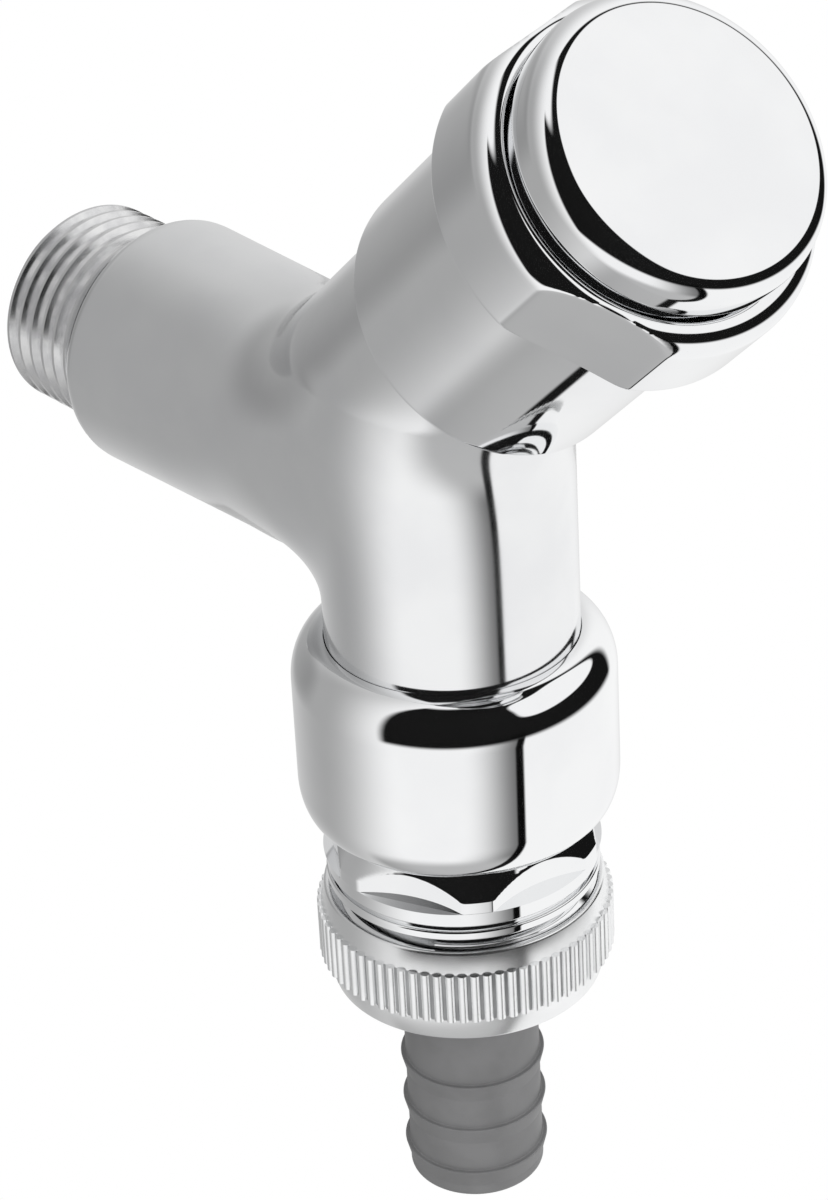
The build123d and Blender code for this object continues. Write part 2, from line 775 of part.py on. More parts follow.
# Hose tail: flange, plain tube and saw-toothed barbs that grip the hose
barb_heights = [nut_bottom - barb_first - barb_pitch * step for step in range(barb_count)]
with BuildPart() as hose_tail:
    with BuildSketch(outlet_section):
        with BuildLine():
            Polyline(
                (tail_bore_dia / 2, tail_end),
                (tail_dia / 2, tail_end),
                (tail_dia / 2, tail_flange_foot),
                (tail_flange_dia / 2, tail_flange_foot),
                (tail_flange_dia / 2, tail_flange_top),
                (tail_bore_dia / 2, tail_flange_top),
                close=True,
            )
        make_face()
        fillet(vertices().group_by(Axis.Y)[0].sort_by(Axis.X)[-1], tail_end_radius)
    revolve(axis=outlet_axis)
    with BuildSketch(outlet_section):
        for barb_height in barb_heights:
            with BuildLine():
                Polyline(
                    (tail_dia / 4 + tail_bore_dia / 4, barb_height),
                    (barb_dia / 2, barb_height),
                    (tail_dia / 2, barb_height - barb_ramp),
                    (tail_dia / 4 + tail_bore_dia / 4, barb_height - barb_ramp),
                    close=True,
                )
            make_face()
    revolve(axis=outlet_axis)
hose_tail.part.label = "hose_tail"

pieces = (
    tap_body,
    bonnet_gasket,
    headwork_body,
    bonnet_sleeve,
    spindle,
    spindle_o_rings,
    retaining_clip,
    valve_plug,
    seat_washer,
    washer_screw,
    handle_skirt,
    handle_cap,
    handle_screw,
    outlet_housing,
    barrel_o_ring,
    check_cartridge,
    cartridge_o_ring,
    check_poppet,
    poppet_seal,
    check_spring,
    outlet_nipple,
    hose_gasket,
    union_nut,
    hose_tail,
)
for piece in pieces:
    export_step(piece.part, f"parts/{piece.part.label}.step")
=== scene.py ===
"""Dresses the outdoor tap: a chromed Y body, a fluted handle, a backflow housing and a hose union.

Metres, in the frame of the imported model. Sizes are written in millimetres, times mm.
"""

import json
from math import cos, pi, radians, sin, sqrt, tan

import bmesh
import bpy
import numpy as np
from mathutils import Matrix, Vector


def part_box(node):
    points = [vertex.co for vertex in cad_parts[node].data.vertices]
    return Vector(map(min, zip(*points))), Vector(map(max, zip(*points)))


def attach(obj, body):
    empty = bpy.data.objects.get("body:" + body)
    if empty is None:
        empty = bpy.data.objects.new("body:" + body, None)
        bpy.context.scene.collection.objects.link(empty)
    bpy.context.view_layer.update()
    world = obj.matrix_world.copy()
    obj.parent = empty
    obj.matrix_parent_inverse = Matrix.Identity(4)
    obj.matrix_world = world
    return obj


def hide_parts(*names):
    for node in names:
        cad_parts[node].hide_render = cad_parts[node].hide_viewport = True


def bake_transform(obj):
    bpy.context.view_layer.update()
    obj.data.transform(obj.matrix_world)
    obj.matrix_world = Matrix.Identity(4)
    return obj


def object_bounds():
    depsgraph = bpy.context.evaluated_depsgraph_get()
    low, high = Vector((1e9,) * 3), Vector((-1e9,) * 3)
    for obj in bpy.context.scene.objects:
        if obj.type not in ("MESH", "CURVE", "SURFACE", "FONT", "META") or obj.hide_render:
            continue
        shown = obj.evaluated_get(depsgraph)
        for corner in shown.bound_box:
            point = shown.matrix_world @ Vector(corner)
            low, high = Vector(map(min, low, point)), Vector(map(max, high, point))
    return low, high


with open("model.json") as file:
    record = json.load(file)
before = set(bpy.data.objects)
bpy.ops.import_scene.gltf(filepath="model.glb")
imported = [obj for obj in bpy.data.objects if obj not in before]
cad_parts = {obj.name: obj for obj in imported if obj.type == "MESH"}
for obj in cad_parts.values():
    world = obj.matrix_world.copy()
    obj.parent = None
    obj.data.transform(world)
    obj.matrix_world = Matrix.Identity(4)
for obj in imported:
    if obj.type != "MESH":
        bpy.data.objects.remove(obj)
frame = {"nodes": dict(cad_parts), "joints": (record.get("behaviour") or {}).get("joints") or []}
cad_low, cad_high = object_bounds()
nodes = frame["nodes"]
mm = 0.001


# Cast body: inlet barrel, slanted branch and outlet barrel in one brass casting, ground,
# polished and chromed. The threaded stub is cut off at the shoulder and made apart, below.
def shader_group(name, inputs, outputs):
    """An empty shader group with named sockets, its input node and its output node."""
    group = bpy.data.node_groups.new(name, "ShaderNodeTree")
    for label, kind in inputs:
        group.interface.new_socket(name=label, in_out="INPUT", socket_type=kind)
    for label, kind in outputs:
        group.interface.new_socket(name=label, in_out="OUTPUT", socket_type=kind)
    return group, group.nodes.new("NodeGroupInput"), group.nodes.new("NodeGroupOutput")


noise_low = 0.3
noise_high = 0.7
patch_detail = 4.0
grain_detail = 3.0
sharp_angle = radians(32)


def noise_of_size(tree, place, size, detail):
    """Noise whose features are about as wide as the size that is linked in, in metres."""
    scale = tree.nodes.new("ShaderNodeMath")
    scale.operation = "DIVIDE"
    scale.inputs[0].default_value = 1.0
    tree.links.new(size, scale.inputs[1])
    noise = tree.nodes.new("ShaderNodeTexNoise")
    noise.inputs["Detail"].default_value = detail
    tree.links.new(place, noise.inputs["Vector"])
    tree.links.new(scale.outputs[0], noise.inputs["Scale"])
    return noise.outputs["Fac"]


def spread(tree, value, low, high):
    """The middle of a noise stretched smoothly from low to high, which are sockets or numbers."""
    stretch = tree.nodes.new("ShaderNodeMapRange")
    stretch.interpolation_type = "SMOOTHSTEP"
    stretch.inputs["From Min"].default_value = noise_low
    stretch.inputs["From Max"].default_value = noise_high
    tree.links.new(value, stretch.inputs["Value"])
    for label, end in (("To Min", low), ("To Max", high)):
        if isinstance(end, float):
            stretch.inputs[label].default_value = end
        else:
            tree.links.new(end, stretch.inputs[label])
    return stretch.outputs["Result"]


surface_finish, finish_in, finish_out = shader_group(
    "surface_finish",
    [
        ("Place", "NodeSocketVector"),
        ("Patch Size", "NodeSocketFloat"),
        ("Grain Size", "NodeSocketFloat"),
        ("Smoothest", "NodeSocketFloat"),
        ("Dullest", "NodeSocketFloat"),
    ],
    [("Patches", "NodeSocketFloat"), ("Roughness", "NodeSocketFloat"), ("Grain", "NodeSocketFloat")],
)
finish_patches = noise_of_size(
    surface_finish,
    finish_in.outputs["Place"],
    finish_in.outputs["Patch Size"],
    patch_detail,
)
finish_grain = noise_of_size(
    surface_finish,
    finish_in.outputs["Place"],
    finish_in.outputs["Grain Size"],
    grain_detail,
)
surface_finish.links.new(spread(surface_finish, finish_patches, 0.0, 1.0), finish_out.inputs["Patches"])
surface_finish.links.new(
    spread(surface_finish, finish_patches, finish_in.outputs["Smoothest"], finish_in.outputs["Dullest"]),
    finish_out.inputs["Roughness"],
)
surface_finish.links.new(finish_grain, finish_out.inputs["Grain"])


def finished_material(name, colour, faded, metallic, roughness, patch_size, grain_size, grain_height):
    """A material whose colour, gloss and fine grain change a little over the surface."""
    material = bpy.data.materials.new(name)
    material.use_nodes = True
    tree = material.node_tree
    shader = tree.nodes["Principled BSDF"]
    shader.inputs["Metallic"].default_value = metallic
    place = tree.nodes.new("ShaderNodeTexCoord")
    finish = tree.nodes.new("ShaderNodeGroup")
    finish.node_tree = surface_finish
    finish.inputs["Patch Size"].default_value = patch_size
    finish.inputs["Grain Size"].default_value = grain_size
    finish.inputs["Smoothest"].default_value = roughness[0]
    finish.inputs["Dullest"].default_value = roughness[1]
    tree.links.new(place.outputs["Object"], finish.inputs["Place"])
    tint = tree.nodes.new("ShaderNodeMix")
    tint.data_type = "RGBA"
    tint.inputs["A"].default_value = (*colour, 1.0)
    tint.inputs["B"].default_value = (*faded, 1.0)
    tree.links.new(finish.outputs["Patches"], tint.inputs["Factor"])
    bump = tree.nodes.new("ShaderNodeBump")
    bump.inputs["Strength"].default_value = 1.0
    bump.inputs["Distance"].default_value = grain_height
    tree.links.new(finish.outputs["Grain"], bump.inputs["Height"])
    tree.links.new(tint.outputs["Result"], shader.inputs["Base Color"])
    tree.links.new(finish.outputs["Roughness"], shader.inputs["Roughness"])
    tree.links.new(bump.outputs["Normal"], shader.inputs["Normal"])
    return material


def placed(name, mesh, material):
    """Put a finished mesh in the scene under its name, smooth between its sharp edges."""
    mesh.name = name
    mesh.shade_smooth()
    mesh.set_sharp_from_angle(angle=sharp_angle)
    if material.name not in mesh.materials:
        mesh.materials.clear()
        mesh.materials.append(material)
    piece = bpy.data.objects.new(name, mesh)
    bpy.context.collection.objects.link(piece)
    return piece


def shown(name, mesh, material, body, slot, *replaced):
    """Place a finished mesh that rides on its body, in place of the CAD nodes it stands for."""
    piece = placed(name, mesh, material)
    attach(piece, body)
    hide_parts(*replaced)


polished_casting = finished_material(
    "polished_casting",
    colour=(0.86, 0.865, 0.87),
    faded=(0.82, 0.825, 0.835),
    metallic=1.0,
    roughness=(0.07, 0.11),
    patch_size=9 * mm,
    grain_size=0.35 * mm,
    grain_height=0.0004 * mm,
)
stem_joint = next(joint for joint in frame["joints"] if joint["name"] == "handle_turn")
stem_line = (Vector(stem_joint["pos_m"]), Vector(stem_joint["axis"]).normalized(), Vector((0, 1, 0)))
outlet_joint = next(joint for joint in frame["joints"] if joint["name"] == "nut_turn")
outlet_line = (Vector(outlet_joint["pos_m"]), Vector((0, 0, 1)), Vector((1, 0, 0)))
inlet_line = (Vector((0, 0, 0)), Vector((-1, 0, 0)), Vector((0, 1, 0)))
stub_left = 0.05 * mm
casting_grain = 0.5 * mm
cast_blend = 4.0 * mm
polish_blend = 2.0 * mm
inlet_fade = 10 * mm
inlet_sink = 3 * mm
inlet_radius = 12.8 * mm
inlet_taper = 0.02
inlet_edge = 2.2 * mm
branch_radius = 12.4 * mm
branch_seen = 29.5 * mm
outlet_radius = 12.3 * mm
outlet_seen = -16.6 * mm
outlet_top = outlet_line[0].x - stem_line[0].x
slope_step = 0.01 * mm
tiny_length = 0.001 * mm
tiny_share = 0.001
steepest_share = 30
least_facing = 0.05
drawn_within = 2.0 * mm
smoothing_steps = 8


def merged(node):
    """A working copy of a CAD node's mesh, with its doubled vertices made one."""
    work = bmesh.new()
    work.from_mesh(nodes[node].data)
    bmesh.ops.remove_doubles(work, verts=work.verts, dist=tiny_length)
    return work


def beyond_barrel(places, foot, along, radius, taper, edge):
    """How far each place lies outside a long barrel, whose near end has a rounded edge."""
    offset = places - np.array(foot)
    height = offset @ np.array(along)
    out = np.linalg.norm(offset - np.outer(height, along), axis=1)
    beyond_side = out - radius + taper * height + edge
    beyond_end = edge - height
    near = np.hypot(np.maximum(beyond_side, 0), np.maximum(beyond_end, 0))
    return near + np.minimum(np.maximum(beyond_side, beyond_end), 0) - edge


def barrels_at(places):
    """How far each place lies outside the inlet barrel, the outlet barrel and the branch."""
    outlet_start = outlet_line[0] + Vector((0, 0, outlet_top))
    branch_start = stem_line[0] - stem_line[1] * branch_radius
    return [
        beyond_barrel(places, (0, 0, 0), (1, 0, 0), inlet_radius, inlet_taper, inlet_edge),
        beyond_barrel(places, outlet_start, (0, 0, -1), outlet_radius, 0, 0),
        beyond_barrel(places, branch_start, stem_line[1], branch_radius, 0, branch_radius),
    ]


def barrels_met(places):
    """Each barrel's distance, with the inlet sinking into the outlet, and the way its surface faces."""
    inlet, outlet, branch = barrels_at(places)
    sinking = np.maximum(places[:, 0] - outlet_line[0].x + inlet_fade, 0) / inlet_fade
    rises = []
    for axis in ((1, 0, 0), (0, 1, 0), (0, 0, 1)):
        small = np.array(axis) * slope_step
        ahead = np.array(barrels_at(places + small))
        rises.append(ahead - np.array(barrels_at(places - small)))
    slopes = np.stack(rises, axis=2)
    slopes /= np.maximum(np.linalg.norm(slopes, axis=2, keepdims=True), tiny_length)
    return list(zip((inlet + inlet_sink * sinking**3, outlet, branch), slopes))


def beyond_casting(places):
    """How far each place lies outside the casting, hollowed where two barrels meet at an angle."""
    (nearest, facing), *others = barrels_met(places)
    for beyond, slope in others:
        crease = np.sqrt(np.maximum(1 - np.sum(facing * slope, axis=1) ** 2, 0))
        blend = np.maximum(cast_blend * crease, tiny_length)
        overlap = np.maximum(blend - np.abs(nearest - beyond), 0) / blend
        farther = np.clip((beyond - nearest) / polish_blend, -steepest_share, steepest_share)
        share = 1 / (1 + np.exp(farther))[:, None]
        facing = slope * share + facing * (1 - share)
        facing /= np.maximum(np.linalg.norm(facing, axis=1, keepdims=True), tiny_share)
        nearest = np.minimum(nearest, beyond) - overlap**2 * blend / 4
    return nearest


def casting_slope(places):
    """The way the polished surface faces: each barrel's own way, run together softly where they meet."""
    total = np.zeros_like(places)
    for beyond, slope in barrels_met(places):
        total += slope * np.exp(-np.maximum(beyond, 0) / polish_blend)[:, None]
    return total / np.linalg.norm(total, axis=1, keepdims=True)


stubless = merged("tap_body")
bmesh.ops.bisect_plane(
    stubless,
    geom=stubless.verts[:] + stubless.edges[:] + stubless.faces[:],
    plane_co=(-stub_left, 0, 0),
    plane_no=(-1, 0, 0),
    clear_outer=True,
)
bmesh.ops.bridge_loops(stubless, edges=[edge for edge in stubless.edges if edge.is_boundary])
rough_mesh = bpy.data.meshes.new("rough_casting")
stubless.to_mesh(rough_mesh)
stubless.free()
rough = bpy.data.objects.new("rough_casting", rough_mesh)
bpy.context.collection.objects.link(rough)
regrained = rough.modifiers.new("even_grid", "REMESH")
regrained.mode = "VOXEL"
regrained.voxel_size = casting_grain
casting_mesh = bpy.data.meshes.new_from_object(rough.evaluated_get(bpy.context.evaluated_depsgraph_get()))
bpy.data.objects.remove(rough)

# The even grid is drawn on to the smooth casting wherever it shows, and takes its true normals there.
grid = np.array([vertex.co for vertex in casting_mesh.vertices])
grid_normals = np.array([vertex.normal for vertex in casting_mesh.vertices])
stem_height = (grid - np.array(stem_line[0])) @ np.array(stem_line[1])
outside = np.sum(grid_normals * casting_slope(grid), axis=1) > least_facing
outside &= np.abs(beyond_casting(grid)) < drawn_within
outside &= (stem_height < branch_seen) & (grid[:, 2] > outlet_seen)
grid_edges = np.array([edge.vertices for edge in casting_mesh.edges])
neighbours = np.bincount(grid_edges.ravel(), minlength=len(grid))
for step in range(smoothing_steps):
    even = np.zeros_like(grid)
    np.add.at(even, grid_edges[:, 0], grid[grid_edges[:, 1]])
    np.add.at(even, grid_edges[:, 1], grid[grid_edges[:, 0]])
    even /= neighbours[:, None]
    grid[outside] = (grid[outside] + even[outside]) / 2
    grid[outside] -= casting_slope(grid[outside]) * beyond_casting(grid[outside])[:, None]
casting_mesh.vertices.foreach_set("co", grid.ravel())
casting_mesh.update()
shown("cast_body", casting_mesh, polished_casting, "tap", "satin_chrome", "tap_body")
true_normals = casting_slope(grid)
corner_normals = [corner.vector.copy() for corner in casting_mesh.corner_normals]
for corner, loop in enumerate(casting_mesh.loops):
    if outside[loop.vertex_index]:
        corner_normals[corner] = Vector(true_normals[loop.vertex_index])
casting_mesh.normals_split_custom_set(corner_normals)


# Inlet thread: the G1/2 stub that screws into the wall, turned and cut on the same casting,
# with bright flanks from the threading tool and a chamfered lead at its end.
thread_length = -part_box("tap_body")[0].x
thread_pitch = 1.814 * mm
thread_radius = 20.955 / 2 * mm
thread_depth = 1.0 * mm
thread_crest = 0.35 * mm
thread_run_out = thread_pitch * 0.6
thread_lead = thread_pitch * 0.55
root_share = 0.9
ridge_sunk = 0.1 * mm
helix_steps = 96
inlet_bore = 6.5 * mm
arc_step = radians(12)
longest_corner = 0.45
guard_place = 1.4
guard_room = 3
on_axis = 1e-7


def rounded(outline):
    """The outline's points, with each corner that has a radius of its own turned into a small arc."""
    points = []
    for index, (radius, height, corner) in enumerate(outline):
        here = Vector((radius, height))
        if corner == 0:
            points.append(here)
            continue
        before = Vector(outline[index - 1][:2]) - here
        after = Vector(outline[(index + 1) % len(outline)][:2]) - here
        half = before.angle(after) / 2
        reach = min(corner / tan(half), longest_corner * before.length, longest_corner * after.length)
        turn = pi - 2 * half
        centre = here + (before.normalized() + after.normalized()).normalized() * reach / cos(half)
        start = here + before.normalized() * reach - centre
        end = here + after.normalized() * reach - centre
        if before.length > guard_room * reach:
            points.append(here + before.normalized() * reach * guard_place)
        steps = max(3, round(turn / arc_step))
        for step in range(steps + 1):
            share = step / steps
            from_start = sin(turn - share * turn) / sin(turn)
            from_end = sin(share * turn) / sin(turn)
            points.append(centre + start * from_start + end * from_end)
        if after.length > guard_room * reach:
            points.append(here + after.normalized() * reach * guard_place)
    return points


def turned(outline, line, segments=240, trim=None, ring_step=None):
    """A closed mesh turned about a line: its foot, its direction and the side that angles start from.

    Each outline point is (radius, distance along the line, corner radius). trim gives the largest radius
    at an angle and a distance, for flats and flutes, and ring_step is how close the rings then lie.
    """
    foot, along, side = line
    across = along.cross(side)
    points = rounded(outline)
    if ring_step:
        finer = []
        for index, point in enumerate(points):
            following = points[(index + 1) % len(points)]
            pieces = max(1, int((following - point).length / ring_step))
            finer += [point.lerp(following, piece / pieces) for piece in range(pieces)]
        points = finer
    work = bmesh.new()
    rings = []
    for radius, height in points:
        if radius < on_axis:
            rings.append([work.verts.new(foot + along * height)] * segments)
            continue
        ring = []
        for step in range(segments):
            angle = 2 * pi * step / segments
            limited = radius if trim is None else min(radius, trim(angle, height, radius))
            outward = side * cos(angle) + across * sin(angle)
            ring.append(work.verts.new(foot + along * height + outward * limited))
        rings.append(ring)
    for index, ring in enumerate(rings):
        following = rings[(index + 1) % len(rings)]
        for step in range(segments):
            onward = (step + 1) % segments
            corners = []
            for corner in (ring[step], ring[onward], following[onward], following[step]):
                if corner not in corners:
                    corners.append(corner)
            if len(corners) > 2:
                work.faces.new(corners)
    bmesh.ops.recalc_face_normals(work, faces=work.faces)
    mesh = bpy.data.meshes.new("turned")
    work.to_mesh(mesh)
    work.free()
    return mesh


def node_tree_for_mesh(name, inputs):
    """An empty geometry tree with named inputs and one mesh output, its input node and its output node."""
    tree = bpy.data.node_groups.new(name, "GeometryNodeTree")
    for label, kind in inputs:
        tree.interface.new_socket(name=label, in_out="INPUT", socket_type=kind)
    tree.interface.new_socket(name="Mesh", in_out="OUTPUT", socket_type="NodeSocketGeometry")
    return tree, tree.nodes.new("NodeGroupInput"), tree.nodes.new("NodeGroupOutput")


def end_tree(tree, geometry, start, end):
    """Close a geometry tree: real mesh in place of instances, with the material of its input."""
    realised = tree.nodes.new("GeometryNodeRealizeInstances")
    painted = tree.nodes.new("GeometryNodeSetMaterial")
    tree.links.new(geometry, realised.inputs["Geometry"])
    tree.links.new(realised.outputs["Geometry"], painted.inputs["Geometry"])
    tree.links.new(start.outputs["Material"], painted.inputs["Material"])
    tree.links.new(painted.outputs["Geometry"], end.inputs["Mesh"])


def mesh_from_tree(tree, **sizes):
    """Run a geometry tree with these inputs and keep its result as a plain mesh."""
    carrier = bpy.data.objects.new("carrier", bpy.data.meshes.new("carrier"))
    bpy.context.collection.objects.link(carrier)
    modifier = carrier.modifiers.new("tree", "NODES")
    modifier.node_group = tree
    for item in tree.interface.items_tree:
        if item.in_out == "INPUT":
            modifier[item.identifier] = sizes[item.name.lower().replace(" ", "_")]
    evaluated = carrier.evaluated_get(bpy.context.evaluated_depsgraph_get())
    mesh = bpy.data.meshes.new_from_object(evaluated)
    carrier.modifiers.remove(modifier)
    bpy.data.objects.remove(carrier)
    return mesh


def joined(*meshes):
    """Several meshes as one mesh, in which each face keeps its place in the list of materials."""
    work = bmesh.new()
    for mesh in meshes:
        work.from_mesh(mesh)
    together = bpy.data.meshes.new("joined")
    work.to_mesh(together)
    work.free()
    return together


thread_ridge, ridge_in, ridge_out = node_tree_for_mesh(
    "thread_ridge",
    [
        ("Turns", "NodeSocketFloat"),
        ("Length", "NodeSocketFloat"),
        ("Radius", "NodeSocketFloat"),
        ("Depth", "NodeSocketFloat"),
        ("Root", "NodeSocketFloat"),
        ("Crest", "NodeSocketFloat"),
        ("Material", "NodeSocketMaterial"),
    ],
)
helix = thread_ridge.nodes.new("GeometryNodeCurveSpiral")
helix.inputs["Resolution"].default_value = helix_steps
for label in ("Start Radius", "End Radius"):
    thread_ridge.links.new(ridge_in.outputs["Radius"], helix.inputs[label])
thread_ridge.links.new(ridge_in.outputs["Turns"], helix.inputs["Rotations"])
thread_ridge.links.new(ridge_in.outputs["Length"], helix.inputs["Height"])
upright = thread_ridge.nodes.new("GeometryNodeSetCurveNormal")
upright.mode = "Z_UP"
thread_ridge.links.new(helix.outputs["Curve"], upright.inputs["Curve"])
flank = thread_ridge.nodes.new("GeometryNodeCurvePrimitiveQuadrilateral")
flank.mode = "TRAPEZOID"
flank.inputs["Offset"].default_value = 0.0
thread_ridge.links.new(ridge_in.outputs["Depth"], flank.inputs["Height"])
thread_ridge.links.new(ridge_in.outputs["Root"], flank.inputs["Bottom Width"])
thread_ridge.links.new(ridge_in.outputs["Crest"], flank.inputs["Top Width"])
facing_out = thread_ridge.nodes.new("GeometryNodeTransform")
facing_out.inputs["Rotation"].default_value = (0, 0, radians(90))
thread_ridge.links.new(flank.outputs["Curve"], facing_out.inputs["Geometry"])
swept = thread_ridge.nodes.new("GeometryNodeCurveToMesh")
swept.inputs["Fill Caps"].default_value = True
thread_ridge.links.new(upright.outputs["Curve"], swept.inputs["Curve"])
thread_ridge.links.new(facing_out.outputs["Geometry"], swept.inputs["Profile Curve"])
end_tree(thread_ridge, swept.outputs["Mesh"], ridge_in, ridge_out)


def threaded(line, start, end, radius, depth, pitch, crest, material):
    """The ridge of a screw thread along a line, with its crest at the radius."""
    foot, along, side = line
    ridge = mesh_from_tree(
        thread_ridge,
        turns=(end - start) / pitch,
        length=end - start,
        radius=radius - depth / 2,
        depth=depth,
        root=pitch * root_share,
        crest=crest,
        material=material,
    )
    across = along.cross(side)
    place = Matrix((side, across, along)).transposed().to_4x4()
    place.translation = foot + along * start
    ridge.transform(place)
    return ridge


cut_metal = finished_material(
    "cut_metal",
    colour=(0.80, 0.80, 0.80),
    faded=(0.70, 0.70, 0.71),
    metallic=1.0,
    roughness=(0.16, 0.26),
    patch_size=2 * mm,
    grain_size=0.12 * mm,
    grain_height=0.002 * mm,
)
thread_root = thread_radius - thread_depth
thread_core = turned(
    [
        (inlet_bore, stub_left, 0),
        (thread_root, stub_left, 0),
        (thread_root, thread_length, 0.4 * mm),
        (inlet_bore, thread_length, 0.3 * mm),
    ],
    inlet_line,
)
inlet_ridge = threaded(
    inlet_line,
    thread_run_out,
    thread_length - thread_lead,
    thread_radius,
    thread_depth + ridge_sunk,
    thread_pitch,
    thread_crest,
    cut_metal,
)
shown("inlet_thread", joined(thread_core, inlet_ridge), cut_metal, "tap", "satin_chrome", "tap_body")


# Headwork: the brass insert that holds the spindle, screwed into the branch on a fibre gasket.
# Both are machined or punched and stay out of sight under the sleeve.
machined_brass = finished_material(
    "machined_brass",
    colour=(0.72, 0.56, 0.30),
    faded=(0.62, 0.46, 0.22),
    metallic=1.0,
    roughness=(0.20, 0.34),
    patch_size=3 * mm,
    grain_size=0.1 * mm,
    grain_height=0.002 * mm,
)
red_fibre = finished_material(
    "red_fibre",
    colour=(0.30, 0.12, 0.08),
    faded=(0.22, 0.08, 0.05),
    metallic=0.0,
    roughness=(0.75, 0.9),
    patch_size=1.5 * mm,
    grain_size=0.2 * mm,
    grain_height=0.02 * mm,
)
nodes["headwork_body"].material_slots[0].material = machined_brass
nodes["bonnet_gasket"].material_slots[0].material = red_fibre


# Bonnet sleeve: a thin drawn tube over the headwork, polished and chromed. Its rim overhangs the
# branch a little, and a web inside centres it on the headwork's neck.
def span(node, line):
    """How low, how high and how wide a CAD node is about a line."""
    foot, along = line[:2]
    places = [vertex.co - foot for vertex in nodes[node].data.vertices]
    heights = [place.dot(along) for place in places]
    radii = [(place - along * height).length for place, height in zip(places, heights)]
    return min(heights), max(heights), max(radii)


bright_chrome = finished_material(
    "bright_chrome",
    colour=(0.90, 0.905, 0.91),
    faded=(0.86, 0.865, 0.875),
    metallic=1.0,
    roughness=(0.03, 0.055),
    patch_size=12 * mm,
    grain_size=0.8 * mm,
    grain_height=0.0003 * mm,
)
sleeve_low, sleeve_high, sleeve_radius = span("bonnet_sleeve", stem_line)
neck_radius = 9.05 * mm
sleeve_wall = 1.45 * mm
sleeve_rim = 0.5 * mm
web_low = sleeve_high - 7.5 * mm
web_high = web_low + 1.5 * mm
sleeve_mesh = turned(
    [
        (sleeve_radius, sleeve_low, sleeve_rim),
        (sleeve_radius, sleeve_high, 0.4 * mm),
        (sleeve_radius - sleeve_wall, sleeve_high, 0.3 * mm),
        (sleeve_radius - sleeve_wall, web_high, 0),
        (neck_radius, web_high, 0),
        (neck_radius, web_low, 0),
        (sleeve_radius - sleeve_wall, web_low, 0),
        (sleeve_radius - sleeve_wall, sleeve_low, 0.2 * mm),
    ],
    stem_line,
)
shown("bonnet_tube", sleeve_mesh, bright_chrome, "tap", "satin_chrome", "bonnet_sleeve")


# Spindle: turned brass with a hexagon drive on top, sealed by two rubber rings and kept in by an
# open spring ring. The valve plug climbs its thread and carries a rubber washer on a small screw.
black_rubber = finished_material(
    "black_rubber",
    colour=(0.025, 0.025, 0.026),
    faded=(0.045, 0.045, 0.045),
    metallic=0.0,
    roughness=(0.45, 0.65),
    patch_size=2 * mm,
    grain_size=0.15 * mm,
    grain_height=0.006 * mm,
)
spring_steel = finished_material(
    "spring_steel",
    colour=(0.60, 0.60, 0.62),
    faded=(0.50, 0.50, 0.52),
    metallic=1.0,
    roughness=(0.18, 0.32),
    patch_size=1.5 * mm,
    grain_size=0.08 * mm,
    grain_height=0.002 * mm,
)
for brass_piece in ("spindle", "valve_plug", "washer_screw"):
    nodes[brass_piece].material_slots[0].material = machined_brass
for rubber_piece in ("spindle_o_rings", "seat_washer"):
    nodes[rubber_piece].material_slots[0].material = black_rubber
for steel_piece in ("retaining_clip", "handle_screw"):
    nodes[steel_piece].material_slots[0].material = spring_steel


# Handle skirt: a chromed casting that slips over the sleeve, with three shallow finger flutes, a
# rounded shoulder and a hub that a screw holds on the spindle.
skirt_low, skirt_high, skirt_wide = span("handle_skirt", stem_line)
outline_slack = 0.01 * mm
hub_drop = 0.2 * mm
skirt_height = 7.0 * mm
skirt_radius = skirt_wide - outline_slack
skirt_rim = skirt_low + hub_drop
skirt_edge = skirt_rim + skirt_height
skirt_wall = 2.2 * mm
skirt_web = 2.4 * mm
shoulder_height = skirt_high - skirt_edge
shoulder_width = 2.35 * mm
spigot_depth = 1.5 * mm
groove_depth = 1.0 * mm
hub_radius = 6.5 * mm
hub_hole = 4.06 * mm
hub_top = skirt_high - spigot_depth
cap_radius = skirt_radius - shoulder_width
spigot_radius = cap_radius - groove_depth
flute_count = 3
flute_start = radians(-140)
flute_depth = 1.4 * mm
flute_radius = 100 * mm
flute_softness = 0.12 * mm


def bow(centre_radius, centre_height, reach, rise, start, end, steps=14):
    """Outline points on a quarter of an ellipse, between two angles in degrees."""
    angles = [radians(start + (end - start) * step / steps) for step in range(steps + 1)]
    return [(centre_radius + reach * cos(angle), centre_height + rise * sin(angle), 0) for angle in angles]


def fluted(angle, height, radius):
    """The largest radius at an angle, where a round finger flute may have been ground in."""
    spacing = 2 * pi / flute_count
    off = (angle - flute_start + spacing / 2) % spacing - spacing / 2
    centre = skirt_radius - flute_depth + flute_radius
    inside = flute_radius**2 - (centre * sin(off)) ** 2
    if radius < spigot_radius or inside <= 0:
        return radius
    ground = centre * cos(off) - sqrt(inside)
    gap = ground - radius
    return (ground + radius - sqrt(gap * gap + flute_softness**2)) / 2


skirt_mesh = turned(
    [
        (hub_hole, skirt_low, 0),
        (hub_radius, skirt_low, 0.3 * mm),
        (hub_radius, hub_top - skirt_web, 0),
        (skirt_radius - skirt_wall, hub_top - skirt_web, 0),
        (skirt_radius - skirt_wall, skirt_rim, 0),
        (skirt_radius, skirt_rim, 0.45 * mm),
        *bow(cap_radius, skirt_edge, shoulder_width, shoulder_height, 0, 90),
        (spigot_radius, skirt_high, 0),
        (spigot_radius, hub_top, 0),
        (hub_hole, hub_top, 0),
    ],
    stem_line,
    segments=360,
    trim=fluted,
    ring_step=0.5 * mm,
)
shown("fluted_skirt", skirt_mesh, bright_chrome, "handle", "chrome", "handle_skirt")


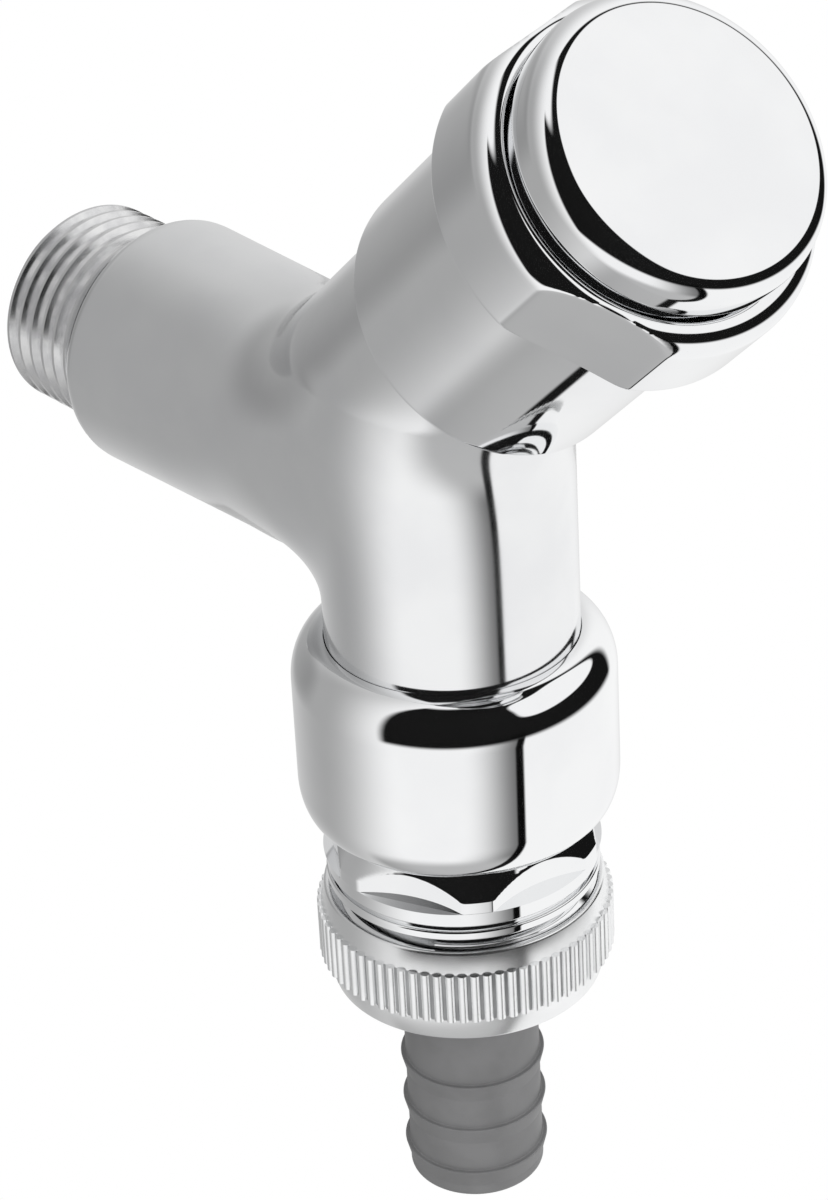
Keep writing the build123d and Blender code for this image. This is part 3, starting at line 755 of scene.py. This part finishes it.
# Handle cap: a turned and polished disc with a rounded edge and a gently domed bare face, pressed
# into the handle so that a narrow groove shows below it.
cap_low, cap_high = span("handle_cap", stem_line)[:2]
groove_width = 1.0 * mm
cap_edge = 2.3 * mm
cap_dome = 0.35 * mm
cap_wall = 1.6 * mm
cap_top = cap_high - cap_dome
cap_foot = skirt_high + groove_width
face_radius = cap_radius - cap_edge
dome_steps = 12
dome = []
for step in range(1, dome_steps):
    across_face = 1 - step / dome_steps
    dome.append((face_radius * across_face, cap_top + cap_dome * (1 - across_face**2), 0))
cap_mesh = turned(
    [
        (0, cap_top - cap_wall, 0),
        (spigot_radius - cap_wall, cap_top - cap_wall, 0),
        (spigot_radius - cap_wall, cap_low, 0),
        (spigot_radius, cap_low, 0),
        (spigot_radius, cap_foot, 0),
        (cap_radius, cap_foot, 0.35 * mm),
        *bow(face_radius, cap_top - cap_edge, cap_edge, cap_edge, 0, 90),
        *dome,
        (0, cap_high, 0),
    ],
    stem_line,
)
shown("polished_cap", cap_mesh, bright_chrome, "handle", "chrome", "handle_cap")


# Outlet housing: the turned and chromed shell of the backflow preventer, pushed over the outlet
# barrel on a rubber ring, with a swelling shoulder and a rounded foot.
housing_low, housing_high, housing_radius = span("outlet_housing", outlet_line)
barrel_bore = 12.35 * mm
cage_bore = 10.95 * mm
neck_bore = 12.05 * mm
barrel_end = -20.5 * mm
cage_foot = -31.64 * mm
housing_shoulder = 4.6 * mm
housing_foot = 3.8 * mm
housing_foot_radius = 14.0 * mm
rim_gap = 0.06 * mm
housing_mesh = turned(
    [
        (barrel_bore, barrel_end, 0),
        (cage_bore, barrel_end, 0),
        (cage_bore, cage_foot, 0),
        (neck_bore, cage_foot, 0),
        (neck_bore, housing_low, 0.2 * mm),
        *bow(
            housing_foot_radius,
            housing_low + housing_foot,
            housing_radius - housing_foot_radius,
            housing_foot,
            -90,
            0,
        ),
        *bow(
            barrel_bore + rim_gap,
            housing_high - housing_shoulder,
            housing_radius - barrel_bore - rim_gap,
            housing_shoulder,
            0,
            90,
        ),
        (barrel_bore, housing_high - rim_gap, 0),
    ],
    outlet_line,
)
shown("backflow_shell", housing_mesh, bright_chrome, "tap", "chrome", "outlet_housing")


# Check valve: a white moulded cage with its poppet and steel coil spring, sealed by rubber rings. It
# sits inside the housing and lets water out but not back. The coil stands on the cage.
white_moulding = finished_material(
    "white_moulding",
    colour=(0.82, 0.82, 0.79),
    faded=(0.76, 0.76, 0.73),
    metallic=0.0,
    roughness=(0.35, 0.5),
    patch_size=3 * mm,
    grain_size=0.12 * mm,
    grain_height=0.004 * mm,
)
for moulded_piece in ("check_cartridge", "check_poppet"):
    nodes[moulded_piece].material_slots[0].material = white_moulding
for rubber_piece in ("barrel_o_ring", "cartridge_o_ring", "poppet_seal"):
    nodes[rubber_piece].material_slots[0].material = black_rubber
coil_work = merged("check_spring")
coil_mesh = bpy.data.meshes.new("coil_spring")
coil_work.to_mesh(coil_mesh)
coil_work.free()
coil = placed("coil_spring", coil_mesh, spring_steel)
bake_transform(coil)
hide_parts("check_spring")


# Hose nipple: turned and chromed, with a cone and six milled flats for a spanner, a narrow groove
# and ring, and the outside thread that the union nut screws on to.
nipple_low, nipple_high = span("outlet_nipple", outlet_line)[:2]
nipple_bore = 8.0 * mm
nipple_neck = 12.0 * mm
cone_top = housing_low - 0.6 * mm
cone_foot = cone_top - 2.9 * mm
land_foot = cone_foot - 1.3 * mm
band_foot = land_foot - 1.7 * mm
groove_foot = band_foot - 0.5 * mm
ring_foot = groove_foot - 1.0 * mm
collar_radius = 13.75 * mm
band_radius = 13.45 * mm
groove_radius = 12.9 * mm
ring_radius = 13.5 * mm
hose_thread_radius = 13.22 * mm
hose_thread_depth = 0.9 * mm
hose_thread_pitch = 1.814 * mm
hose_thread_crest = 0.3 * mm
hose_thread_lead = hose_thread_pitch * 0.55
hose_thread_run_out = hose_thread_pitch * 0.5
flat_distance = 12.55 * mm
flat_count = 6
flat_turn = radians(-36)
flat_margin = 0.02 * mm
bore_margin = 1 * mm


def milled(angle, height, radius):
    """The largest radius at an angle and a height, where the collar may have a spanner flat."""
    on_collar = land_foot + flat_margin < height < cone_top
    if not on_collar or radius < nipple_bore + bore_margin:
        return radius
    spacing = 2 * pi / flat_count
    off = (angle - flat_turn) % spacing - spacing / 2
    return flat_distance / cos(off)


nipple_core = turned(
    [
        (nipple_bore, nipple_high, 0.2 * mm),
        (nipple_neck, nipple_high, 0.2 * mm),
        (nipple_neck, cone_top, 0),
        (collar_radius, cone_foot, 0.15 * mm),
        (collar_radius, land_foot, 0.1 * mm),
        (band_radius, land_foot, 0),
        (band_radius, band_foot, 0.2 * mm),
        (groove_radius, band_foot, 0),
        (groove_radius, groove_foot, 0),
        (ring_radius, groove_foot, 0.2 * mm),
        (ring_radius, ring_foot, 0.2 * mm),
        (hose_thread_radius - hose_thread_depth, ring_foot, 0),
        (hose_thread_radius - hose_thread_depth, nipple_low, 0.3 * mm),
        (nipple_bore, nipple_low, 0.2 * mm),
    ],
    outlet_line,
    segments=360,
    trim=milled,
    ring_step=0.25 * mm,
)
hose_ridge = threaded(
    outlet_line,
    nipple_low + hose_thread_lead,
    ring_foot - hose_thread_run_out,
    hose_thread_radius,
    hose_thread_depth + ridge_sunk,
    hose_thread_pitch,
    hose_thread_crest,
    bright_chrome,
)
shown("hose_nipple", joined(nipple_core, hose_ridge), bright_chrome, "tap", "chrome", "outlet_nipple")


# Union nut: chromed with a satin turned finish, a plain collar, a straight knurl for the fingers with its
# grooves painted darker as shade, and a chamfered foot, whose lip draws the hose tail up against a flat
# rubber gasket.
turned_chrome = finished_material(
    "turned_chrome",
    colour=(0.90, 0.905, 0.91),
    faded=(0.86, 0.865, 0.87),
    metallic=1.0,
    roughness=(0.20, 0.27),
    patch_size=5 * mm,
    grain_size=0.3 * mm,
    grain_height=0.0004 * mm,
)
nut_low, nut_high, nut_radius = span("union_nut", outlet_line)
nut_top_radius = 13.85 * mm
nut_foot_radius = 13.4 * mm
nut_hole = 7.2 * mm
nut_lip = 2.1 * mm
knurl_top = nut_high - 2.3 * mm
knurl_foot = nut_low + 2.9 * mm
knurl_depth = 0.4 * mm
knurl_count = 74
knurl_land = 0.5 * mm
ridge_sides = 12
ridge_turn = radians(15)
thread_clearance = 0.05 * mm
nut_bore = hose_thread_radius + thread_clearance

knurl_ridges, knurl_in, knurl_out = node_tree_for_mesh(
    "knurl_ridges",
    [
        ("Count", "NodeSocketInt"),
        ("Ring Radius", "NodeSocketFloat"),
        ("Ridge Length", "NodeSocketFloat"),
        ("Ridge Land", "NodeSocketFloat"),
        ("Material", "NodeSocketMaterial"),
    ],
)
ring_of_points = knurl_ridges.nodes.new("GeometryNodeMeshCircle")
knurl_ridges.links.new(knurl_in.outputs["Count"], ring_of_points.inputs["Vertices"])
knurl_ridges.links.new(knurl_in.outputs["Ring Radius"], ring_of_points.inputs["Radius"])
ridge_bar = knurl_ridges.nodes.new("GeometryNodeMeshCylinder")
ridge_bar.inputs["Vertices"].default_value = ridge_sides
knurl_ridges.links.new(knurl_in.outputs["Ridge Land"], ridge_bar.inputs["Radius"])
knurl_ridges.links.new(knurl_in.outputs["Ridge Length"], ridge_bar.inputs["Depth"])
flat_side_out = knurl_ridges.nodes.new("GeometryNodeTransform")
flat_side_out.inputs["Rotation"].default_value = (0, 0, ridge_turn)
knurl_ridges.links.new(ridge_bar.outputs["Mesh"], flat_side_out.inputs["Geometry"])
ring_place = knurl_ridges.nodes.new("GeometryNodeInputPosition")
turned_out = knurl_ridges.nodes.new("FunctionNodeAlignRotationToVector")
turned_out.axis = "X"
turned_out.pivot_axis = "Z"
knurl_ridges.links.new(ring_place.outputs["Position"], turned_out.inputs["Vector"])
ridges_in_ring = knurl_ridges.nodes.new("GeometryNodeInstanceOnPoints")
knurl_ridges.links.new(ring_of_points.outputs["Mesh"], ridges_in_ring.inputs["Points"])
knurl_ridges.links.new(flat_side_out.outputs["Geometry"], ridges_in_ring.inputs["Instance"])
knurl_ridges.links.new(turned_out.outputs["Rotation"], ridges_in_ring.inputs["Rotation"])
end_tree(knurl_ridges, ridges_in_ring.outputs["Instances"], knurl_in, knurl_out)

knurl_root = nut_radius - knurl_depth
nut_core = turned(
    [
        (nut_bore, nut_high, 0.15 * mm),
        (nut_top_radius, nut_high, 0.3 * mm),
        (knurl_root, knurl_top, 0),
        (knurl_root, knurl_foot, 0),
        (nut_foot_radius, nut_low, 0.3 * mm),
        (nut_hole, nut_low, 0.2 * mm),
        (nut_hole, nut_low + nut_lip, 0),
        (nut_bore, nut_low + nut_lip, 0),
    ],
    outlet_line,
)
# A rougher chrome for the floors of the knurl grooves, whose darker colour is painted shade in the grooves.
groove_chrome = finished_material(
    "groove_chrome",
    colour=(0.46, 0.465, 0.47),
    faded=(0.36, 0.365, 0.37),
    metallic=1.0,
    roughness=(0.34, 0.45),
    patch_size=4 * mm,
    grain_size=0.2 * mm,
    grain_height=0.002 * mm,
)
# The groove floors between the knurl ridges take the darker chrome: painted shade.
for face in nut_core.polygons:
    from_axis = (face.center - outlet_line[0]).xy.length
    if knurl_foot < face.center.z < knurl_top and from_axis > nut_top_radius:
        face.material_index = 1
knurl_mesh = mesh_from_tree(
    knurl_ridges,
    count=knurl_count,
    ring_radius=nut_radius - knurl_land * cos(ridge_turn),
    ridge_length=knurl_top - knurl_foot,
    ridge_land=knurl_land,
    material=turned_chrome,
)
knurl_middle = Vector((0, 0, (knurl_top + knurl_foot) / 2))
knurl_mesh.transform(Matrix.Translation(outlet_line[0] + knurl_middle))
for face in knurl_mesh.polygons:
    face.material_index = 0
nut_mesh = joined(nut_core, knurl_mesh)
nut_mesh.materials.append(turned_chrome)
nut_mesh.materials.append(groove_chrome)
shown("knurled_nut", nut_mesh, turned_chrome, "nut", "chrome", "union_nut")
nodes["hose_gasket"].material_slots[0].material = black_rubber


# Hose tail: one grey plastic moulding with a flange inside the nut, a straight tube and three
# saw-toothed rings that hold a garden hose.
tail_low, tail_high, tail_flange_radius = span("hose_tail", outlet_line)
tail_radius = 6.8 * mm
tail_bore = 4.9 * mm
tail_flange_foot = tail_high - 2.0 * mm
tail_end_radius = 1.2 * mm
barb_radius = 7.3 * mm
barb_first = nut_low - 10.8 * mm
barb_pitch = 5.4 * mm
barb_count = 3
barb_ramp = 2.0 * mm
barb_root_edge = 0.15 * mm
barb_tip_edge = 0.12 * mm
barb_ramp_edge = 0.3 * mm
grey_moulding = finished_material(
    "grey_moulding",
    colour=(0.17, 0.17, 0.172),
    faded=(0.20, 0.20, 0.203),
    metallic=0.0,
    roughness=(0.42, 0.55),
    patch_size=4 * mm,
    grain_size=0.16 * mm,
    grain_height=0.008 * mm,
)
barbs = []
for step in range(barb_count):
    barb_top = barb_first - barb_pitch * step
    barbs.append((tail_radius, barb_top, barb_root_edge))
    barbs.append((barb_radius, barb_top, barb_tip_edge))
    barbs.append((tail_radius, barb_top - barb_ramp, barb_ramp_edge))
tail_mesh = turned(
    [
        (tail_bore, tail_high, 0.2 * mm),
        (tail_flange_radius, tail_high, 0.2 * mm),
        (tail_flange_radius, tail_flange_foot, 0.2 * mm),
        (tail_radius, tail_flange_foot, 0.2 * mm),
        *barbs,
        (tail_radius, tail_low, tail_end_radius),
        (tail_bore, tail_low, 0.3 * mm),
    ],
    outlet_line,
)
shown("barbed_tail", tail_mesh, grey_moulding, "tail", "grey_plastic", "hose_tail")


# Floor: a wide sheet of plain pale paper, laid well below the tap, which hangs on its wall thread.
# It shows as white and throws no light or shadow on the tap.
floor_drop = 120 * mm
floor_width = 3.0
floor_height = cad_low.z - floor_drop
floor_mesh = bpy.data.meshes.new("floor")
floor_mesh.from_pydata(
    [
        (-floor_width, -floor_width, floor_height),
        (floor_width, -floor_width, floor_height),
        (floor_width, floor_width, floor_height),
        (-floor_width, floor_width, floor_height),
    ],
    [],
    [(0, 1, 2, 3)],
)
floor = bpy.data.objects.new("floor", floor_mesh)
bpy.context.collection.objects.link(floor)
floor_paper = bpy.data.materials.new("floor_paper")
floor_paper.use_nodes = True
floor_tree = floor_paper.node_tree
floor_shader = floor_tree.nodes["Principled BSDF"]
floor_shader.inputs["Base Color"].default_value = (0.8, 0.8, 0.8, 1)
floor_shader.inputs["Roughness"].default_value = 0.9
floor_glow = floor_tree.nodes.new("ShaderNodeEmission")
floor_ray = floor_tree.nodes.new("ShaderNodeLightPath")
floor_mix = floor_tree.nodes.new("ShaderNodeMixShader")
floor_end = floor_tree.nodes["Material Output"]
floor_tree.links.new(floor_ray.outputs["Is Camera Ray"], floor_mix.inputs["Fac"])
floor_tree.links.new(floor_shader.outputs["BSDF"], floor_mix.inputs[1])
floor_tree.links.new(floor_glow.outputs["Emission"], floor_mix.inputs[2])
floor_tree.links.new(floor_mix.outputs["Shader"], floor_end.inputs["Surface"])
floor_mesh.materials.append(floor_paper)
floor.visible_glossy = False
floor.visible_diffuse = False
floor.visible_shadow = False


# Camera: stands in front of the tap, to its right and above it, with a long lens and a slight roll.
# Its place is counted from the outlet's axis.
camera_azimuth = radians(49.548)
camera_elevation = radians(30.973)
camera_roll = radians(-3.065)
camera_distance = 387.892 * mm
camera_sideways = -2.910 * mm
camera_rise = -11.209 * mm
towards_camera = Vector(
    (
        sin(camera_azimuth) * cos(camera_elevation),
        -cos(camera_azimuth) * cos(camera_elevation),
        sin(camera_elevation),
    )
)
level_right = Vector((cos(camera_azimuth), sin(camera_azimuth), 0))
level_up = towards_camera.cross(level_right)
camera_right = level_right * cos(camera_roll) + level_up * sin(camera_roll)
camera_up = towards_camera.cross(camera_right)
camera_data = bpy.data.cameras.new("camera")
camera_data.sensor_fit = "VERTICAL"
camera_data.sensor_height = 36
camera_data.lens = 124.617
camera_data.clip_start = 0.01
camera = bpy.data.objects.new("camera", camera_data)
bpy.context.collection.objects.link(camera)
camera_place = Matrix((camera_right, camera_up, towards_camera)).transposed().to_4x4()
camera_place.translation = (
    outlet_line[0]
    + towards_camera * camera_distance
    + camera_right * camera_sideways
    + camera_up * camera_rise
)
camera.matrix_world = camera_place
bpy.context.scene.camera = camera


# Studio: a white paper tent that the chrome mirrors, with a grey wall behind the inlet, a dark opening
# with a broad lamp in it, and a narrow dark seam in the paper below, shaded on one side. Matt pieces
# get one soft light from the front and above.
tent = bpy.data.worlds.new("white_tent")
bpy.context.scene.world = tent
tent.use_nodes = True
tent_tree = tent.node_tree
tent_light = tent_tree.nodes["Background"]
tent_way = tent_tree.nodes.new("ShaderNodeTexCoord")
tent_parts = tent_tree.nodes.new("ShaderNodeSeparateXYZ")
tent_tree.links.new(tent_way.outputs["Generated"], tent_parts.inputs["Vector"])


def calculated(operation, first, second):
    """One sum in the tent's tree, of sockets or numbers."""
    node = tent_tree.nodes.new("ShaderNodeMath")
    node.operation = operation
    for socket, value in zip(node.inputs, (first, second)):
        if isinstance(value, (int, float)):
            socket.default_value = value
        else:
            tent_tree.links.new(value, socket)
    return node.outputs[0]


def fading(value, start, end, before, after):
    """Brightness that goes softly from before to after as a value goes from start to end."""
    node = tent_tree.nodes.new("ShaderNodeMapRange")
    node.interpolation_type = "SMOOTHSTEP"
    tent_tree.links.new(value, node.inputs["Value"])
    for label, number in (("From Min", start), ("From Max", end), ("To Min", before), ("To Max", after)):
        node.inputs[label].default_value = number
    return node.outputs["Result"]


way_x, way_y, way_z = tent_parts.outputs
way_azimuth = calculated("ARCTAN2", way_y, way_x)
way_elevation = calculated("ARCSINE", way_z, 0.0)
wall_brightness = (0.41, 0.60)
wall_middle = 0.72
wall_turn = 0.35
wall_edge = (-0.1, 0.75)
wall_sides = (-0.45, 0.45)
wall_centre = (-0.97, -0.84)
opening_brightness = 0.008
opening_azimuths = (radians(-93), radians(90))
opening_elevations = (radians(-19), radians(75))
lamp_azimuth = radians(43)
lamp_elevation = radians(35)
lamp_half_width = radians(40)
lamp_half_height = radians(22)
lamp_squareness = 4.0
lamp_edge = (0.8, 1.2)
soft_edge = radians(4)
paper_heights = (-0.1, -0.35)
paper_start = (-0.45, -0.3)
shade_width = (-0.55, 0.05)
seam_shade = 0.16
seam_brightness = 0.02
seam_near_edge = (-0.03, 0.0)
seam_far_edge = (0.06, 0.09)
beneath_heights = (-0.72, -0.9)
beneath_brightness = 0.52
soft_light_from = Vector((0.72, -0.30, 0.62)).normalized()
soft_light_gain = 0.8
soft_light_middle = 0.65
soft_light_least = 0.15

# The grey wall, darker in its middle.
towards_wall = calculated(
    "SUBTRACT",
    calculated("MULTIPLY", way_x, -1.0),
    calculated("MULTIPLY", calculated("MAXIMUM", way_y, 0.0), wall_turn),
)
wall_share = fading(towards_wall, *wall_edge, 0.0, 1.0)
wall_lit = fading(way_y, *wall_sides, *wall_brightness)
wall_lit = calculated("MULTIPLY", wall_lit, fading(way_x, *wall_centre, wall_middle, 1.0))
wall = calculated("ADD", calculated("MULTIPLY", calculated("SUBTRACT", wall_lit, 1.0), wall_share), 1.0)

# The paper below, with its shaded side and its seam.
below = fading(way_z, *paper_heights, 0.0, 1.0)
before_wall = fading(way_x, *paper_start, 0.0, 1.0)
seam_side = fading(way_y, *shade_width, 1.0, seam_shade)
straight_down = fading(way_z, *beneath_heights, 0.0, 1.0)
beneath = calculated("MULTIPLY", calculated("SUBTRACT", beneath_brightness, seam_side), straight_down)
seam_side = calculated("ADD", seam_side, beneath)
seam_near = fading(way_y, *seam_near_edge, 1.0, seam_brightness)
seam_far = fading(way_y, *seam_far_edge, 0.0, 1.0)
paper = calculated("MAXIMUM", calculated("MULTIPLY", seam_side, seam_near), seam_far)
paper_share = calculated("MULTIPLY", below, before_wall)
paper_below = calculated("ADD", calculated("MULTIPLY", calculated("SUBTRACT", paper, 1.0), paper_share), 1.0)


def between(value, limits):
    """One between two limits, nothing outside them, with soft edges."""
    rising = fading(value, limits[0] - soft_edge, limits[0] + soft_edge, 0.0, 1.0)
    falling = fading(value, limits[1] - soft_edge, limits[1] + soft_edge, 1.0, 0.0)
    return calculated("MULTIPLY", rising, falling)


# The dark opening, and the lamp in it with its rounded corners.
lamp_sideways = calculated("DIVIDE", calculated("SUBTRACT", way_azimuth, lamp_azimuth), lamp_half_width)
lamp_upwards = calculated("DIVIDE", calculated("SUBTRACT", way_elevation, lamp_elevation), lamp_half_height)
lamp_reach = calculated(
    "ADD",
    calculated("POWER", calculated("ABSOLUTE", lamp_sideways, 0.0), lamp_squareness),
    calculated("POWER", calculated("ABSOLUTE", lamp_upwards, 0.0), lamp_squareness),
)
lamp_dark = fading(lamp_reach, *lamp_edge, 0.0, 1.0)
opening_area = calculated(
    "MULTIPLY",
    between(way_azimuth, opening_azimuths),
    between(way_elevation, opening_elevations),
)
opening_share = calculated("MULTIPLY", opening_area, lamp_dark)
opening = calculated("SUBTRACT", 1.0, calculated("MULTIPLY", opening_share, 1.0 - opening_brightness))
tent_shade = calculated("MULTIPLY", calculated("MULTIPLY", wall, opening), paper_below)

# The soft light, and which rays see it.
soft_light = calculated(
    "ADD",
    calculated("MULTIPLY", way_x, soft_light_from.x),
    calculated("MULTIPLY", way_y, soft_light_from.y),
)
soft_light = calculated("ADD", soft_light, calculated("MULTIPLY", way_z, soft_light_from.z))
soft_light = calculated("ADD", calculated("MULTIPLY", soft_light, soft_light_gain), soft_light_middle)
soft_light = calculated("MAXIMUM", soft_light, soft_light_least)
tent_ray = tent_tree.nodes.new("ShaderNodeLightPath")
tent_mirrored = calculated(
    "MAXIMUM",
    tent_ray.outputs["Is Glossy Ray"],
    tent_ray.outputs["Is Transmission Ray"],
)
tent_unmirrored = calculated("MAXIMUM", soft_light, tent_ray.outputs["Is Camera Ray"])
tent_seen = tent_tree.nodes.new("ShaderNodeMix")
tent_tree.links.new(tent_mirrored, tent_seen.inputs["Factor"])
tent_tree.links.new(tent_unmirrored, tent_seen.inputs["A"])
tent_tree.links.new(tent_shade, tent_seen.inputs["B"])
tent_tree.links.new(tent_seen.outputs["Result"], tent_light.inputs["Color"])
bpy.context.scene.view_settings.view_transform = "Standard"
